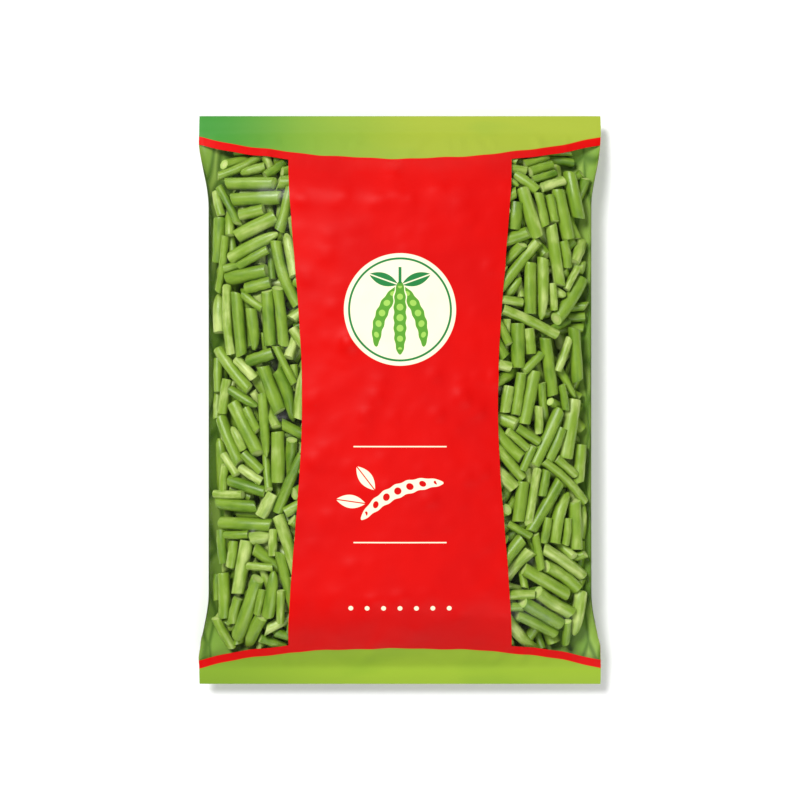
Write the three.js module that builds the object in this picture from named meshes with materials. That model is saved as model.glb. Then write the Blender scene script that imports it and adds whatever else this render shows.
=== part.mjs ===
// A heat-sealed film bag filled with cut green beans, laid on its back.
// Millimetres, +X to the bag's right, +Y to its top end, +Z up from the table.
import * as THREE from 'three';

// The bag
const FLAT_WIDTH = 300; // the empty tube of film, laid flat
const BAG_LENGTH = 425; // from one sealed end to the other
const SEAL_HEIGHT = 12; // the pressed strip at each end
const SHOULDER = 58; // over which the bag fills out from each seal
const BODY_HEIGHT = 60; // the full bag, lying down
const FOLD_HEIGHT = 26; // the side folds, above the table
const SEAL_RISE = 17; // the seals, above the table
const SEAL_DROOP = 2.5; // how far an end hangs down across its seal
const FLAT_PATCH = 58; // half the width that lies flat on the table
const FILM = 0.5; // a stand-in for 0.07 mm of film
const GAP = 0.3; // between plies that touch
const LAP = 15; // the back seam's overlap
const LAP_START = 4; // from the overlap to where one edge starts to ride over the other
const LAP_RAMP = 3;

// How round the outlines are: powers of the part of the half width, and of what is left
const SHOULDER_POWER = 1.25;
const CROWN_POWERS = { across: 2.2, down: 0.6 };
const UNDER_POWERS = { across: 2, down: 0.57 };

// The beans
const BEANS_PER_SIDE = 27;
const TRIES_PER_BEAN = 6000;
const BEAN_RADIUS = { least: 4.8, most: 5.8 };
const BEAN_LENGTH = { least: 26, most: 46 };
const BEAN_DEPTH = 7.2; // from the film to the middle of the thickest bean
const BEAN_CLEARANCE = 0.8; // to the film
const BEAN_SPACING = 0.7; // to the next bean
const WINDOW = { near: 84, far: 146, reach: 183 }; // along the girth, and along Y
const WINDOW_MARGIN = 4; // from the window's inner edge to the first bean
const LEAST_FULLNESS = 0.42; // no separate beans where the bag is flatter than this

// The heap of the other beans
const HEAP_CLEARANCE = 1.6; // from the film
const TROUGH_DEPTH = 14.8; // from the film, below the separate beans
const TROUGH_RAMP = 8;
const HEAP_MARGIN = 16; // from the side fold to the heap's upright side
const HEAP_LEAST = 1; // the heap's own height where it runs out
const HEAP_ACROSS = 22; // steps across

// Stations along half of the web, close together round the side fold, and along half of the bag
const SEAL_LINE = BAG_LENGTH / 2 - SEAL_HEIGHT;
const HALF_STATIONS = [
  0, 34, 62, 84, 100, 113, 124, 133, 140, 146, 150, 154, 160, 168, 178, 190, 204, 222,
  248, 276, 288.5, 291.5, FLAT_WIDTH, FLAT_WIDTH + LAP / 2,
];
const LENGTH_STATIONS = [
  BAG_LENGTH / 2, 206, SEAL_LINE, 195, 189, 182, 174, 165, 155, 142.5, 110, 75, 38, 0,
];
const HEAP_STATIONS = [190, 183, 177, 168, 156, 142, 105, 70, 35, 0];

const mix = THREE.MathUtils.lerp;
const clamp = THREE.MathUtils.clamp;

// How full the bag is at y, from 0 at a seal to 1 along the body.
function fullness(y) {
  const rise = clamp((SEAL_LINE - Math.abs(y)) / SHOULDER, 0, 1);
  return Math.sin(rise * Math.PI / 2) ** SHOULDER_POWER;
}

// The heights of the film's inner face at y: on the table side, at the side fold, at the crown.
function heights(y) {
  const full = fullness(y);
  const past = Math.max(Math.abs(y) - SEAL_LINE, 0) / SEAL_HEIGHT;
  const seal = SEAL_RISE - SEAL_DROOP * past ** 2;
  return {
    low: mix(seal - GAP / 2, FILM, full),
    fold: mix(seal, FOLD_HEIGHT, full),
    high: mix(seal + GAP / 2, BODY_HEIGHT - FILM, full),
  };
}

// Height of the upper film at a part of the half width.
function crownAt(part, h) {
  const drop = (1 - part ** CROWN_POWERS.across) ** CROWN_POWERS.down;
  return h.fold + (h.high - h.fold) * drop;
}

// Height of the lower film at x, flat on the table as far as FLAT_PATCH.
function underAt(x, halfWidth, h) {
  const turn = clamp((x - FLAT_PATCH) / (halfWidth - FLAT_PATCH), 0, 1);
  return h.fold - (h.fold - h.low) * (1 - turn ** UNDER_POWERS.across) ** UNDER_POWERS.down;
}

// Half of the bag's girth, from the crown's middle over the side fold to the back's middle.
function halfGirth(halfWidth, h) {
  const points = [];
  const quarter = 80;
  for (let i = 0; i <= 2 * quarter; i += 1) {
    const part = Math.sin(i / quarter * Math.PI / 2);
    const x = halfWidth * part;
    const z = i <= quarter ? crownAt(part, h) : underAt(x, halfWidth, h);
    points.push(new THREE.Vector2(x, z));
  }
  return points;
}

// How far along a line of points each of them is.
function distances(points) {
  const along = [0];
  for (let i = 1; i < points.length; i += 1) {
    along.push(along[i - 1] + points[i].distanceTo(points[i - 1]));
  }
  return along;
}

// Film doesn't stretch, so the fuller the bag, the narrower: its half girth stays FLAT_WIDTH.
// One section serves each half millimetre of the length.
const sections = new Map();
function sectionAt(y) {
  const key = Math.round(Math.abs(y) * 2) / 2;
  if (sections.has(key)) return sections.get(key);
  const h = heights(key);
  let narrow = FLAT_WIDTH * 0.4;
  let wide = FLAT_WIDTH / 2;
  for (let i = 0; i < 24; i += 1) {
    const halfWidth = (narrow + wide) / 2;
    if (distances(halfGirth(halfWidth, h)).at(-1) < FLAT_WIDTH) narrow = halfWidth;
    else wide = halfWidth;
  }
  const points = halfGirth(narrow, h);
  const section = { halfWidth: narrow, h, points, along: distances(points) };
  sections.set(key, section);
  return section;
}

// The film's inner face at s along the girth from the crown's middle, with its outward normal.
function filmAt(s, y) {
  const { points, along, h } = sectionAt(y);
  const side = Math.sign(s) || 1;
  const wanted = Math.abs(s);
  if (wanted >= along.at(-1)) {
    return { x: side * (along.at(-1) - wanted), z: h.low, nx: 0, nz: -1 };
  }
  let i = 1;
  while (along[i] < wanted) i += 1;
  const part = (wanted - along[i - 1]) / (along[i] - along[i - 1]);
  const p = points[i - 1].clone().lerp(points[i], part);
  if (i === 1) return { x: side * p.x, z: p.y, nx: 0, nz: 1 };
  const run = points[Math.min(i + 1, points.length - 1)].clone();
  run.sub(points[i - 2]).normalize();
  return { x: side * p.x, z: p.y, nx: side * -run.y, nz: run.x };
}

// Where the back seam's two edges lap, one of them rides over the other: on the table the
// left one rises, and at the seals the right one drops.
function lapShift(s, y) {
  const full = fullness(y);
  const start = FLAT_WIDTH - LAP / 2 - LAP_START;
  const into = clamp((Math.abs(s) - start) / LAP_RAMP, 0, 1);
  return into * (FILM + GAP) * (s < 0 ? full : full - 1);
}

function bothWays(half) {
  const back = half.filter((value) => value > 0).map((value) => -value);
  return [...back, ...half].sort((a, b) => a - b);
}

function piece(name, geometry, color, roughness) {
  geometry.computeVertexNormals();
  const finish = new THREE.MeshStandardMaterial({ color, roughness, metalness: 0 });
  const mesh = new THREE.Mesh(geometry, finish);
  mesh.name = name;
  return mesh;
}

// One web of film, cut as a flat sheet, wrapped to a tube, lapped at the back and pressed
// flat at both ends. The plies stay GAP apart, so that the inside isn't a sealed void.
function filmWeb() {
  const across = bothWays(HALF_STATIONS);
  const along = bothWays(LENGTH_STATIONS);
  const sheet = new THREE.BoxGeometry(1, 1, 1, across.length - 1, along.length - 1, 1);
  const at = sheet.attributes.position;
  for (let i = 0; i < at.count; i += 1) {
    const s = across[Math.round((at.getX(i) + 0.5) * (across.length - 1))];
    const y = along[Math.round((at.getY(i) + 0.5) * (along.length - 1))];
    const outward = at.getZ(i) > 0 ? FILM : 0;
    const film = filmAt(s, y);
    const z = film.z + film.nz * outward + lapShift(s, y);
    at.setXYZ(i, film.x + film.nx * outward, y, z);
  }
  return piece('film_web', sheet, 0xd81a18, 0.35);
}

// The top of the heap, lower under the two windows, where the beans that show are separate.
function heapTop(x, y) {
  const { halfWidth, h } = sectionAt(y);
  const part = Math.abs(x) / halfWidth;
  const step = 0.5 / halfWidth;
  const slope = (crownAt(part, h) - crownAt(Math.abs(part - step), h)) / (step * halfWidth);
  const intoWindow = clamp((Math.abs(x) - WINDOW.near) / TROUGH_RAMP + 1.5, 0, 1);
  const beforeEnd = clamp((WINDOW.reach - Math.abs(y)) / TROUGH_RAMP + 1, 0, 1);
  const depth = mix(HEAP_CLEARANCE, TROUGH_DEPTH, intoWindow * beforeEnd);
  const lowest = underAt(Math.abs(x), halfWidth, h) + HEAP_CLEARANCE + HEAP_LEAST;
  return Math.max(crownAt(part, h) - depth * Math.hypot(1, slope), lowest);
}

function beanFill() {
  const along = bothWays(HEAP_STATIONS);
  const heap = new THREE.BoxGeometry(1, 1, 1, HEAP_ACROSS, along.length - 1, 1);
  const at = heap.attributes.position;
  for (let i = 0; i < at.count; i += 1) {
    const y = along[Math.round((at.getY(i) + 0.5) * (along.length - 1))];
    const { halfWidth, h } = sectionAt(y);
    const x = at.getX(i) * 2 * (halfWidth - HEAP_MARGIN);
    const under = underAt(Math.abs(x), halfWidth, h) + HEAP_CLEARANCE;
    at.setXYZ(i, x, y, at.getZ(i) > 0 ? heapTop(x, y) : under);
  }
  return piece('bean_fill', heap, 0x6f9a35, 0.6);
}

// Repeatable random numbers, from 0 to 1.
let seed = 20611;
function random() {
  seed = (seed * 1664525 + 1013904223) % 4294967296;
  return seed / 4294967296;
}

function pointUnderFilm(s, y, depth) {
  const film = filmAt(s, y);
  return new THREE.Vector3(film.x - film.nx * depth, y, film.z - film.nz * depth);
}

function insideWindow(s, y) {
  const near = WINDOW.near + WINDOW_MARGIN;
  if (s < near || s > WINDOW.far || Math.abs(y) > WINDOW.reach) return false;
  return fullness(y) > LEAST_FULLNESS;
}

// Measured in three sections through each ball of the bean's radius along its length.
function clearOfFilm({ radius, samples }) {
  return samples.every((p) => [-0.7, 0, 0.7].every((part) => {
    const disc = radius * Math.sqrt(1 - part ** 2);
    return sectionAt(p.y + part * radius).points.every(
      (q) => Math.hypot(q.x - Math.abs(p.x), q.y - p.z) > disc + BEAN_CLEARANCE,
    );
  }));
}

// One random place for a bean: just under the film, and bent a little with it.
function tryBean(side, length, radius) {
  const turn = random() * Math.PI;
  const s = mix(WINDOW.near, WINDOW.far, random());
  const y = mix(-WINDOW.reach, WINDOW.reach, random());
  const ds = Math.cos(turn) * length / 2;
  const dy = Math.sin(turn) * length / 2;
  if (!insideWindow(s - ds, y - dy) || !insideWindow(s + ds, y + dy)) return null;
  const depth = BEAN_DEPTH + radius - BEAN_RADIUS.most;
  const first = pointUnderFilm(side * (s - ds), y - dy, depth);
  const middle = pointUnderFilm(side * s, y, depth);
  const last = pointUnderFilm(side * (s + ds), y + dy, depth);
  const pull = middle.multiplyScalar(2).addScaledVector(first, -0.5).addScaledVector(last, -0.5);
  const curve = new THREE.QuadraticBezierCurve3(first, pull, last);
  const bean = { curve, radius, samples: curve.getPoints(8) };
  return clearOfFilm(bean) ? bean : null;
}

function apart(a, b) {
  const least = a.radius + b.radius + BEAN_SPACING;
  return a.samples.every((p) => b.samples.every((q) => p.distanceTo(q) > least));
}

// The longest beans are laid first, while there is room for them.
function layBeans(side) {
  const laid = [];
  for (let i = 0; i < BEANS_PER_SIDE; i += 1) {
    const length = mix(BEAN_LENGTH.most, BEAN_LENGTH.least, i / (BEANS_PER_SIDE - 1));
    const radius = mix(BEAN_RADIUS.least, BEAN_RADIUS.most, random());
    for (let go = 0; go < TRIES_PER_BEAN; go += 1) {
      const bean = tryBean(side, length, radius);
      if (bean && laid.every((other) => apart(bean, other))) {
        laid.push(bean);
        break;
      }
    }
  }
  return laid;
}

function cutBean({ curve, radius }, name) {
  const round = new THREE.Shape();
  round.absarc(0, 0, radius, 0, Math.PI * 2);
  const options = { steps: 4, extrudePath: curve, curveSegments: 4 };
  return piece(name, new THREE.ExtrudeGeometry(round, options), 0x8dbb45, 0.45);
}

const bag = new THREE.Group();
bag.name = 'bean_bag';
bag.add(filmWeb());
bag.add(beanFill());
[...layBeans(-1), ...layBeans(1)].forEach((bean, i) => {
  bag.add(cutBean(bean, `bean_${String(i + 1).padStart(2, '0')}`));
});

export default bag;
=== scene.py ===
# %% [markdown]
# A bag of cut green beans, seen from straight above.
#
# The bag is one web of thin plastic film. It is wrapped to a tube, lapped along the back and
# pressed flat at both ends. Two broad windows in the print are left clear, and the beans show
# through them. The beans are made first and the film is then drawn down over them, because a
# full bag gets its lumps from what is in it.
#
# Everything is in metres: +X to the bag's right, +Y to its top end, +Z up from the table.

# %% Load the construction frame
import itertools
import math

import bmesh
import bpy
import numpy as np
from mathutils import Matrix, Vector
from mathutils.bvhtree import BVHTree
from mathutils.kdtree import KDTree


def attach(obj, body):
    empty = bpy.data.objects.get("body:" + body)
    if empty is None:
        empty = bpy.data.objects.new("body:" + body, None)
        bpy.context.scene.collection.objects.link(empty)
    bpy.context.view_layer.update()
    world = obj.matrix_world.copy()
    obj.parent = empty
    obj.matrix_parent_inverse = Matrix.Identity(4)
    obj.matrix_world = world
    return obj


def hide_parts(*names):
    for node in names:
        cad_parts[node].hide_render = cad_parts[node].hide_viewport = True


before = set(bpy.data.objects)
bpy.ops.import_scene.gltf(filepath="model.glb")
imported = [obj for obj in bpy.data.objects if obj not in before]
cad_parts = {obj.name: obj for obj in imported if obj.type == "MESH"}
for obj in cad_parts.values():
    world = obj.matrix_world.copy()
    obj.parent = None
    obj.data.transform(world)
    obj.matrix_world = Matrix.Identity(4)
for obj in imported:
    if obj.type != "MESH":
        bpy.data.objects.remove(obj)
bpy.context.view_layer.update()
MM = 0.001
print("frame:", len(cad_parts), "nodes")

# %% [markdown]
# The camera comes first, so that every later choice can be judged in its view. A long lens far
# away keeps the bag's sides nearly parallel, as on a catalogue picture. It looks straight down,
# and the top of the picture is the bag's top end.
#
# Colours are shown by the plain Standard transform. The default one is made for bright scenes
# with a wide range, and it turns a strong printed red towards pink.

# %% Camera
LENS = 100
SENSOR = 36
VIEW_WIDTH = 0.597
SEAL_LEVEL = 0.02


def add_camera():
    data = bpy.data.cameras.new("camera")
    data.lens = LENS
    data.sensor_width = SENSOR
    camera = bpy.data.objects.new("camera", data)
    bpy.context.scene.collection.objects.link(camera)
    camera.location = (0, 0, SEAL_LEVEL + VIEW_WIDTH * LENS / SENSOR)
    bpy.context.scene.camera = camera
    return camera


camera = add_camera()
bpy.context.scene.view_settings.view_transform = "Standard"
print("camera height", round(camera.location.z, 3))

# %% [markdown]
# The table is a plain pale floor. The main light is a broad soft box high beyond the bag's top left
# corner, which gives each bean a light upper side and a dark lower one. A weaker one fills from
# the other end, and the even light of the room keeps the gaps from going black.

# %% Floor and lights
FLOOR_SIZE = 24
FLOOR_COLOUR = (0.96, 0.96, 0.96)
FLOOR_ROUGHNESS = 0.9
ROOM_LIGHT = 0.25
LIGHTS = {
    "key": {"place": (-1.5, 1.9, 3.3), "size": 1.4, "watts": 169},
    "fill": {"place": (1.2, -2.6, 2.8), "size": 2.6, "watts": 84},
}


def add_light(name, place, size, watts):
    data = bpy.data.lights.new(name, "AREA")
    data.size = size
    data.energy = watts
    light = bpy.data.objects.new(name, data)
    bpy.context.scene.collection.objects.link(light)
    light.location = place
    light.rotation_euler = (-Vector(place)).to_track_quat("-Z", "Y").to_euler()
    return light


def add_floor():
    bpy.ops.object.select_all(action="DESELECT")
    bpy.ops.mesh.primitive_plane_add(size=FLOOR_SIZE)
    floor = bpy.context.object
    floor.name = "floor"
    paper = bpy.data.materials.new("floor_paper")
    paper.use_nodes = True
    shader = paper.node_tree.nodes["Principled BSDF"]
    shader.inputs["Base Color"].default_value = (*FLOOR_COLOUR, 1)
    shader.inputs["Roughness"].default_value = FLOOR_ROUGHNESS
    floor.data.materials.append(paper)
    return floor


def light_room():
    world = bpy.data.worlds.new("room")
    bpy.context.scene.world = world
    world.use_nodes = True
    background = world.node_tree.nodes["Background"]
    background.inputs["Color"].default_value = (1, 1, 1, 1)
    background.inputs["Strength"].default_value = ROOM_LIGHT


add_floor()
light_room()
for name, light in LIGHTS.items():
    add_light(name, **light)
print("lights:", ", ".join(LIGHTS))

# %% [markdown]
# The form of the bag. Film bends easily but doesn't stretch, so the girth is the same 0.6 m
# everywhere, and where the bag is thick it has to be narrow. Each cross-section is a crown above
# the side folds and a flatter underside below them. Both are given by powers, and the half width
# is found by halving until the half girth is right.
#
# It could be blown up by a simulation. The formula gives the same pillow every time and keeps
# to the sizes of the construction model.

# %% The bag's sizes
FLAT_WIDTH = 0.3
BAG_LENGTH = 0.425
SEAL_HEIGHT = 0.012
SEAL_LINE = BAG_LENGTH / 2 - SEAL_HEIGHT
SHOULDER = 0.058
BODY_HEIGHT = 0.06
FOLD_HEIGHT = 0.026
SEAL_RISE = 0.017
SEAL_DROOP = 0.0025
FLAT_PATCH = 0.058
SOLID_FILM = 0.0005
SOLID_GAP = 0.0003
LAP = 0.015
SHOULDER_POWER = 1.25
CROWN_POWERS = {"across": 2.2, "down": 0.6}
UNDER_POWERS = {"across": 2, "down": 0.57}


def smooth(x):
    """From 0 to 1 as x goes from 0 to 1, with soft ends."""
    x = np.clip(x, 0, 1)
    return x * x * (3 - 2 * x)


def fullness(y):
    rise = np.clip((SEAL_LINE - np.abs(y)) / SHOULDER, 0, 1)
    return np.sin(rise * math.pi / 2) ** SHOULDER_POWER


def heights(y):
    """Of the film's inner face at y: on the table side, at the side fold, at the crown."""
    full = fullness(y)
    past = np.maximum(np.abs(y) - SEAL_LINE, 0) / SEAL_HEIGHT
    seal = SEAL_RISE - SEAL_DROOP * past**2
    low = seal - SOLID_GAP / 2 + (SOLID_FILM - seal + SOLID_GAP / 2) * full
    fold = seal + (FOLD_HEIGHT - seal) * full
    high = seal + SOLID_GAP / 2 + (BODY_HEIGHT - SOLID_FILM - seal - SOLID_GAP / 2) * full
    return low, fold, high


def crown_height(part, fold, high):
    """At a part of the half width."""
    drop = np.maximum(1 - part ** CROWN_POWERS["across"], 0) ** CROWN_POWERS["down"]
    return fold + (high - fold) * drop


def under_height(x, half_width, low, fold):
    turn = np.clip((x - FLAT_PATCH) / (half_width - FLAT_PATCH), 0, 1)
    return fold - (fold - low) * (1 - turn ** UNDER_POWERS["across"]) ** UNDER_POWERS["down"]


# %% Sections of the bag, one row for each station of its length
QUARTER_STEPS = 80
STATION_STEP = 0.001
GIRTH_STEPS = 600
HALVINGS = 30
NARROWEST = 0.4


def half_girths(half_width, low, fold, high):
    """x and z of half of each girth, from the crown's middle over the side fold to the back's."""
    turn = np.arange(2 * QUARTER_STEPS + 1) / QUARTER_STEPS
    part = np.clip(np.sin(turn * math.pi / 2), 0, 1)[None, :]
    x = part * half_width[:, None]
    crown = crown_height(part, fold[:, None], high[:, None])
    under = under_height(x, half_width[:, None], low[:, None], fold[:, None])
    return x, np.where(turn[None, :] <= 1, crown, under)


def distances(x, z):
    steps = np.hypot(np.diff(x, axis=1), np.diff(z, axis=1))
    return np.concatenate([np.zeros((len(x), 1)), np.cumsum(steps, axis=1)], axis=1)


def section_table():
    stations = np.arange(0, BAG_LENGTH / 2 + STATION_STEP, STATION_STEP)
    low, fold, high = heights(stations)
    narrow = np.full(len(stations), FLAT_WIDTH * NARROWEST)
    wide = np.full(len(stations), FLAT_WIDTH / 2)
    for _ in range(HALVINGS):
        half_width = (narrow + wide) / 2
        short = distances(*half_girths(half_width, low, fold, high))[:, -1] < FLAT_WIDTH
        narrow = np.where(short, half_width, narrow)
        wide = np.where(short, wide, half_width)
    x, z = half_girths(narrow, low, fold, high)
    along = distances(x, z)
    evenly = np.linspace(0, 1, GIRTH_STEPS + 1)
    table = np.zeros((len(stations), GIRTH_STEPS + 1, 2))
    for row in range(len(stations)):
        wanted = evenly * along[row, -1]
        table[row, :, 0] = np.interp(wanted, along[row], x[row])
        table[row, :, 1] = np.interp(wanted, along[row], z[row])
    return table, narrow


sections, half_widths = section_table()
print("half width at the middle and at a seal, mm:", half_widths[[0, -1]] / MM)

# %% The film's inner face at s along the girth from the crown's middle


def between(table, row, column):
    """Values of a table at fractional rows and columns."""
    row = np.clip(row, 0, table.shape[0] - 1.001)
    column = np.clip(column, 0, table.shape[1] - 1.001)
    r, c = row.astype(int), column.astype(int)
    fr, fc = (row - r)[..., None], (column - c)[..., None]
    near = table[r, c] * (1 - fc) + table[r, c + 1] * fc
    far = table[r + 1, c] * (1 - fc) + table[r + 1, c + 1] * fc
    return near * (1 - fr) + far * fr


def film_places(s, y):
    """Points of the inner face and its outward directions, for arrays of s and y."""
    row = np.abs(y) / STATION_STEP
    column = np.abs(s) / FLAT_WIDTH * GIRTH_STEPS
    past = np.maximum(np.abs(s) - FLAT_WIDTH, 0)
    side = np.where(s < 0, -1.0, 1.0)
    xz = between(sections, row, column)
    run = between(sections, row, column + 1) - between(sections, row, np.maximum(column - 1, 0))
    run = np.where((past > 0)[..., None], np.array([-1.0, 0.0]), run)
    run = run / np.linalg.norm(run, axis=-1, keepdims=True)
    place = np.stack([side * (xz[..., 0] - past), y, xz[..., 1]], axis=-1)
    outward = np.stack([-side * run[..., 1], np.zeros_like(y), run[..., 0]], axis=-1)
    return place, outward


crown, _ = film_places(np.array([0.0]), np.array([0.0]))
print("crown of the inner face:", crown[0])

# %% [markdown]
# Green beans are cut across into pieces as long as a finger joint or two. A piece is a slightly
# flat tube that swells a little at each seed. The knife leaves a pale, often slanting face with a
# softer middle, and pieces from the ends of a pod run out into a curved tip.
#
# Each kind of piece is modelled once, with few faces: a cylinder with rings cut in, its ends
# inset and turned, its rings scaled. Hundreds of beans use it as it is, and the few that lie at the
# windows get a subdivision surface. Bending each copy to its own curve comes later, so eight
# kinds are enough.

# %% Selecting by place, in edit mode
SIDES = 8
RINGS = 5
SHAPE_LENGTH = 0.042
SHAPE_RADIUS = 0.0053
RING_STEP = SHAPE_LENGTH / (RINGS + 1)
NARROW = 0.0004


def pick(mesh, kind, test):
    """Selects the parts of one kind, verts, edges or faces, that pass a test."""
    bpy.ops.mesh.select_mode(type={"verts": "VERT", "edges": "EDGE", "faces": "FACE"}[kind])
    bpy.ops.mesh.select_all(action="DESELECT")
    shape = bmesh.from_edit_mesh(mesh)
    for part in getattr(shape, kind):
        if test(part):
            part.select_set(True)
    shape.select_flush_mode()
    bmesh.update_edit_mesh(mesh)


def is_long(edge):
    return abs(edge.verts[0].co.x - edge.verts[1].co.x) > SHAPE_LENGTH / 2


# %% One kind of cut bean, with few faces
RIM = 0.0006
PITH = 0.0019
PITH_DEPTH = -0.0004
PITH_REACH = 0.0008
FLATNESS = 0.9
SUPPORT = 1.24
FACES_OUT = 0.9
TIP_STEPS = [(0.004, 0.96, 0.0), (0.012, 0.7, 0.0009), (0.02, 0.34, 0.0012)]


def cut_tube():
    """A tube with rings, and an inset cut face at each end."""
    bpy.ops.object.select_all(action="DESELECT")
    bpy.ops.mesh.primitive_cylinder_add(
        vertices=SIDES,
        radius=SHAPE_RADIUS,
        depth=SHAPE_LENGTH,
        end_fill_type="NGON",
        rotation=(0, math.pi / 2, 0),
    )
    bean = bpy.context.object
    bpy.ops.object.transform_apply(rotation=True)
    bpy.ops.object.mode_set(mode="EDIT")
    pick(bean.data, "edges", is_long)
    bpy.ops.mesh.subdivide(number_cuts=RINGS)
    outer_ring = SHAPE_LENGTH / 2 - RING_STEP
    pick(bean.data, "verts", lambda v: abs(abs(v.co.x) - outer_ring) < NARROW)
    bpy.ops.transform.resize(value=(SUPPORT, 1, 1))
    pick(bean.data, "faces", lambda f: abs(f.normal.x) > FACES_OUT)
    bpy.ops.mesh.inset(thickness=RIM)
    bpy.ops.mesh.inset(thickness=PITH, depth=PITH_DEPTH)
    bpy.ops.object.mode_set(mode="OBJECT")
    return bean


def slant_end(bean, end, angle):
    """Turns a cut face and the ring next to it, each about its own middle, and widens them
    again so that the tube stays as thick."""
    edge = SHAPE_LENGTH / 2
    support = (edge - RING_STEP) * SUPPORT
    for middle, inner in ((edge, PITH_REACH), (support, NARROW)):
        pick(bean.data, "verts", lambda v: -inner < v.co.x * end - middle < NARROW)
        centre = (end * middle, 0, 0)
        bpy.ops.transform.rotate(value=angle, orient_axis="Y", center_override=centre)
        bpy.ops.transform.resize(value=(1, 1, 1 / math.cos(angle)), center_override=centre)


def swell(bean, ring, size):
    """Scales one ring, counted from the middle."""
    pick(bean.data, "verts", lambda v: abs(v.co.x - ring * RING_STEP) < NARROW)
    bpy.ops.transform.resize(value=(1, size, size))


def draw_tip(bean):
    """Narrows the far end to the curved tip of a pod, a step more at each ring. A step is where
    it starts, how much narrower it gets and how far it is lifted."""
    for start, size, lift in TIP_STEPS:
        pick(bean.data, "verts", lambda v: v.co.x > start)
        bpy.ops.transform.resize(value=(1, size, size), center_override=(0, 0, 0))
        bpy.ops.transform.translate(value=(0, 0, lift))


# %% The kinds of cut bean
BEAN_KINDS = [  # the slants of the two cuts in degrees, and the swelling of the inner rings
    ((8, -12), (1.05, 0.97, 1.06)),
    ((-24, 10), (0.98, 1.06, 0.97)),
    ((30, 26), (1.02, 1.04, 0.96)),
    ((4, -34), (1.07, 0.96, 1.05)),
    ((-14, -4), (0.96, 1.05, 1.0)),
    ((18, -20), (1.06, 1.0, 0.95)),
    ((0, 6), (1.0, 1.05, 0.98)),
    ((14, 0), (1.04, 0.98, 1.0)),
]
TIP_KIND = len(BEAN_KINDS) - 1


def mark_cuts(mesh, tip):
    """Keeps for the colours where the knife went: 1 on a cut face, 0 on the skin."""
    cut = mesh.attributes.new("cut", "FLOAT", "POINT")
    for vertex in mesh.vertices:
        inset = math.hypot(vertex.co.y, vertex.co.z) < SHAPE_RADIUS - RIM / 2
        cut.data[vertex.index].value = float(inset and not (tip and vertex.co.x > 0))


def model_bean(slants, swells, tip):
    bean = cut_tube()
    mark_cuts(bean.data, tip)
    bpy.ops.object.mode_set(mode="EDIT")
    for end, angle in zip((-1, 1), slants):
        slant_end(bean, end, math.radians(angle))
    for ring, size in zip((-1, 0, 1), swells):
        swell(bean, ring, size)
    if tip:
        draw_tip(bean)
    bpy.ops.mesh.select_all(action="SELECT")
    bpy.ops.transform.resize(value=(1, 1, FLATNESS), center_override=(0, 0, 0))
    bpy.ops.object.mode_set(mode="OBJECT")
    return bean


def link(thing):
    """Puts an object in the scene and makes it the only selected one."""
    bpy.context.scene.collection.objects.link(thing)
    bpy.ops.object.select_all(action="DESELECT")
    thing.select_set(True)
    bpy.context.view_layer.objects.active = thing


def as_arrays(bean, levels):
    """The shape's points, faces and cut marks, after so many levels of subdivision."""
    copy = bean.copy()
    copy.data = bean.data.copy()
    link(copy)
    if levels:
        round_off = copy.modifiers.new("round", "SUBSURF")
        round_off.levels = levels
        round_off.render_levels = levels
        bpy.ops.object.modifier_apply(modifier="round")
    mesh = copy.data
    points = np.array([v.co for v in mesh.vertices])
    faces = [tuple(p.vertices) for p in mesh.polygons]
    cut = np.array([value.value for value in mesh.attributes["cut"].data])
    widest = np.hypot(points[:, 1], points[:, 2])[np.abs(points[:, 0]) < SHAPE_LENGTH / 4].max()
    points[:, 1:] /= widest
    points[:, 0] /= SHAPE_LENGTH / 2
    bpy.data.objects.remove(copy)
    return {"points": points, "faces": faces, "cut": cut}


PLAIN, FINE_LEVEL = 0, 2
shapes = []
for number, (slants, swells) in enumerate(BEAN_KINDS):
    bean = model_bean(slants, swells, tip=number == TIP_KIND)
    shapes.append({levels: as_arrays(bean, levels) for levels in (PLAIN, FINE_LEVEL)})
    bpy.data.objects.remove(bean)
print("kinds:", len(shapes))
print("faces of each:", [len(level["faces"]) for level in shapes[0].values()])

# %% [markdown]
# The beans that lie against the windows have a place of their own in the construction model, as
# plain bent tubes. Their middle lines are read back from the frame: five rings of eight points
# each, in order along the tube. The middle line of a bean is written as
# centre + half * t + bend * (1 - t * t), with t from -1 at one end to 1 at the other.

# %% Middle lines of the beans that lie at the windows
TUBE_RINGS = 5
TUBE_SIDES = 8


def middle_line(node):
    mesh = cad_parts[node].data
    points = np.unique(np.round(np.array([v.co for v in mesh.vertices], float), 6), axis=0)
    _, _, axes = np.linalg.svd(points - points.mean(0), full_matrices=False)
    ranked = points[np.argsort((points - points.mean(0)) @ axes[0])]
    rings = [ranked[i * TUBE_SIDES : (i + 1) * TUBE_SIDES] for i in range(TUBE_RINGS)]
    middles = [ring.mean(0) for ring in rings]
    centre = (middles[0] + middles[-1]) / 2
    radius = np.linalg.norm(rings[2] - middles[2], axis=1).mean()
    return {
        "centre": centre,
        "half": (middles[-1] - middles[0]) / 2,
        "bend": middles[2] - centre,
        "radius": radius,
    }


window_nodes = sorted(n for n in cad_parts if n.startswith("bean_") and n != "bean_fill")
window_lines = [middle_line(node) for node in window_nodes]
window_radii = [line["radius"] / MM for line in window_lines]
print("at the windows:", len(window_lines), "beans")
print("radius in mm:", round(min(window_radii), 2), "to", round(max(window_radii), 2))

# %% [markdown]
# The other beans, about 800 of them, fill the bag. Dropping them in with a rigid body simulation
# would take minutes. Packing them is quicker: each bean is a string of balls, all start at random
# places, and in each round every two balls that overlap, and every ball that pokes into the film,
# are pushed apart. The string is then made a bean again: its ends follow the balls, and its length
# and bend stay. After some hundred rounds few beans are still stuck in each other, and those are
# made thinner or taken out.

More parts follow.
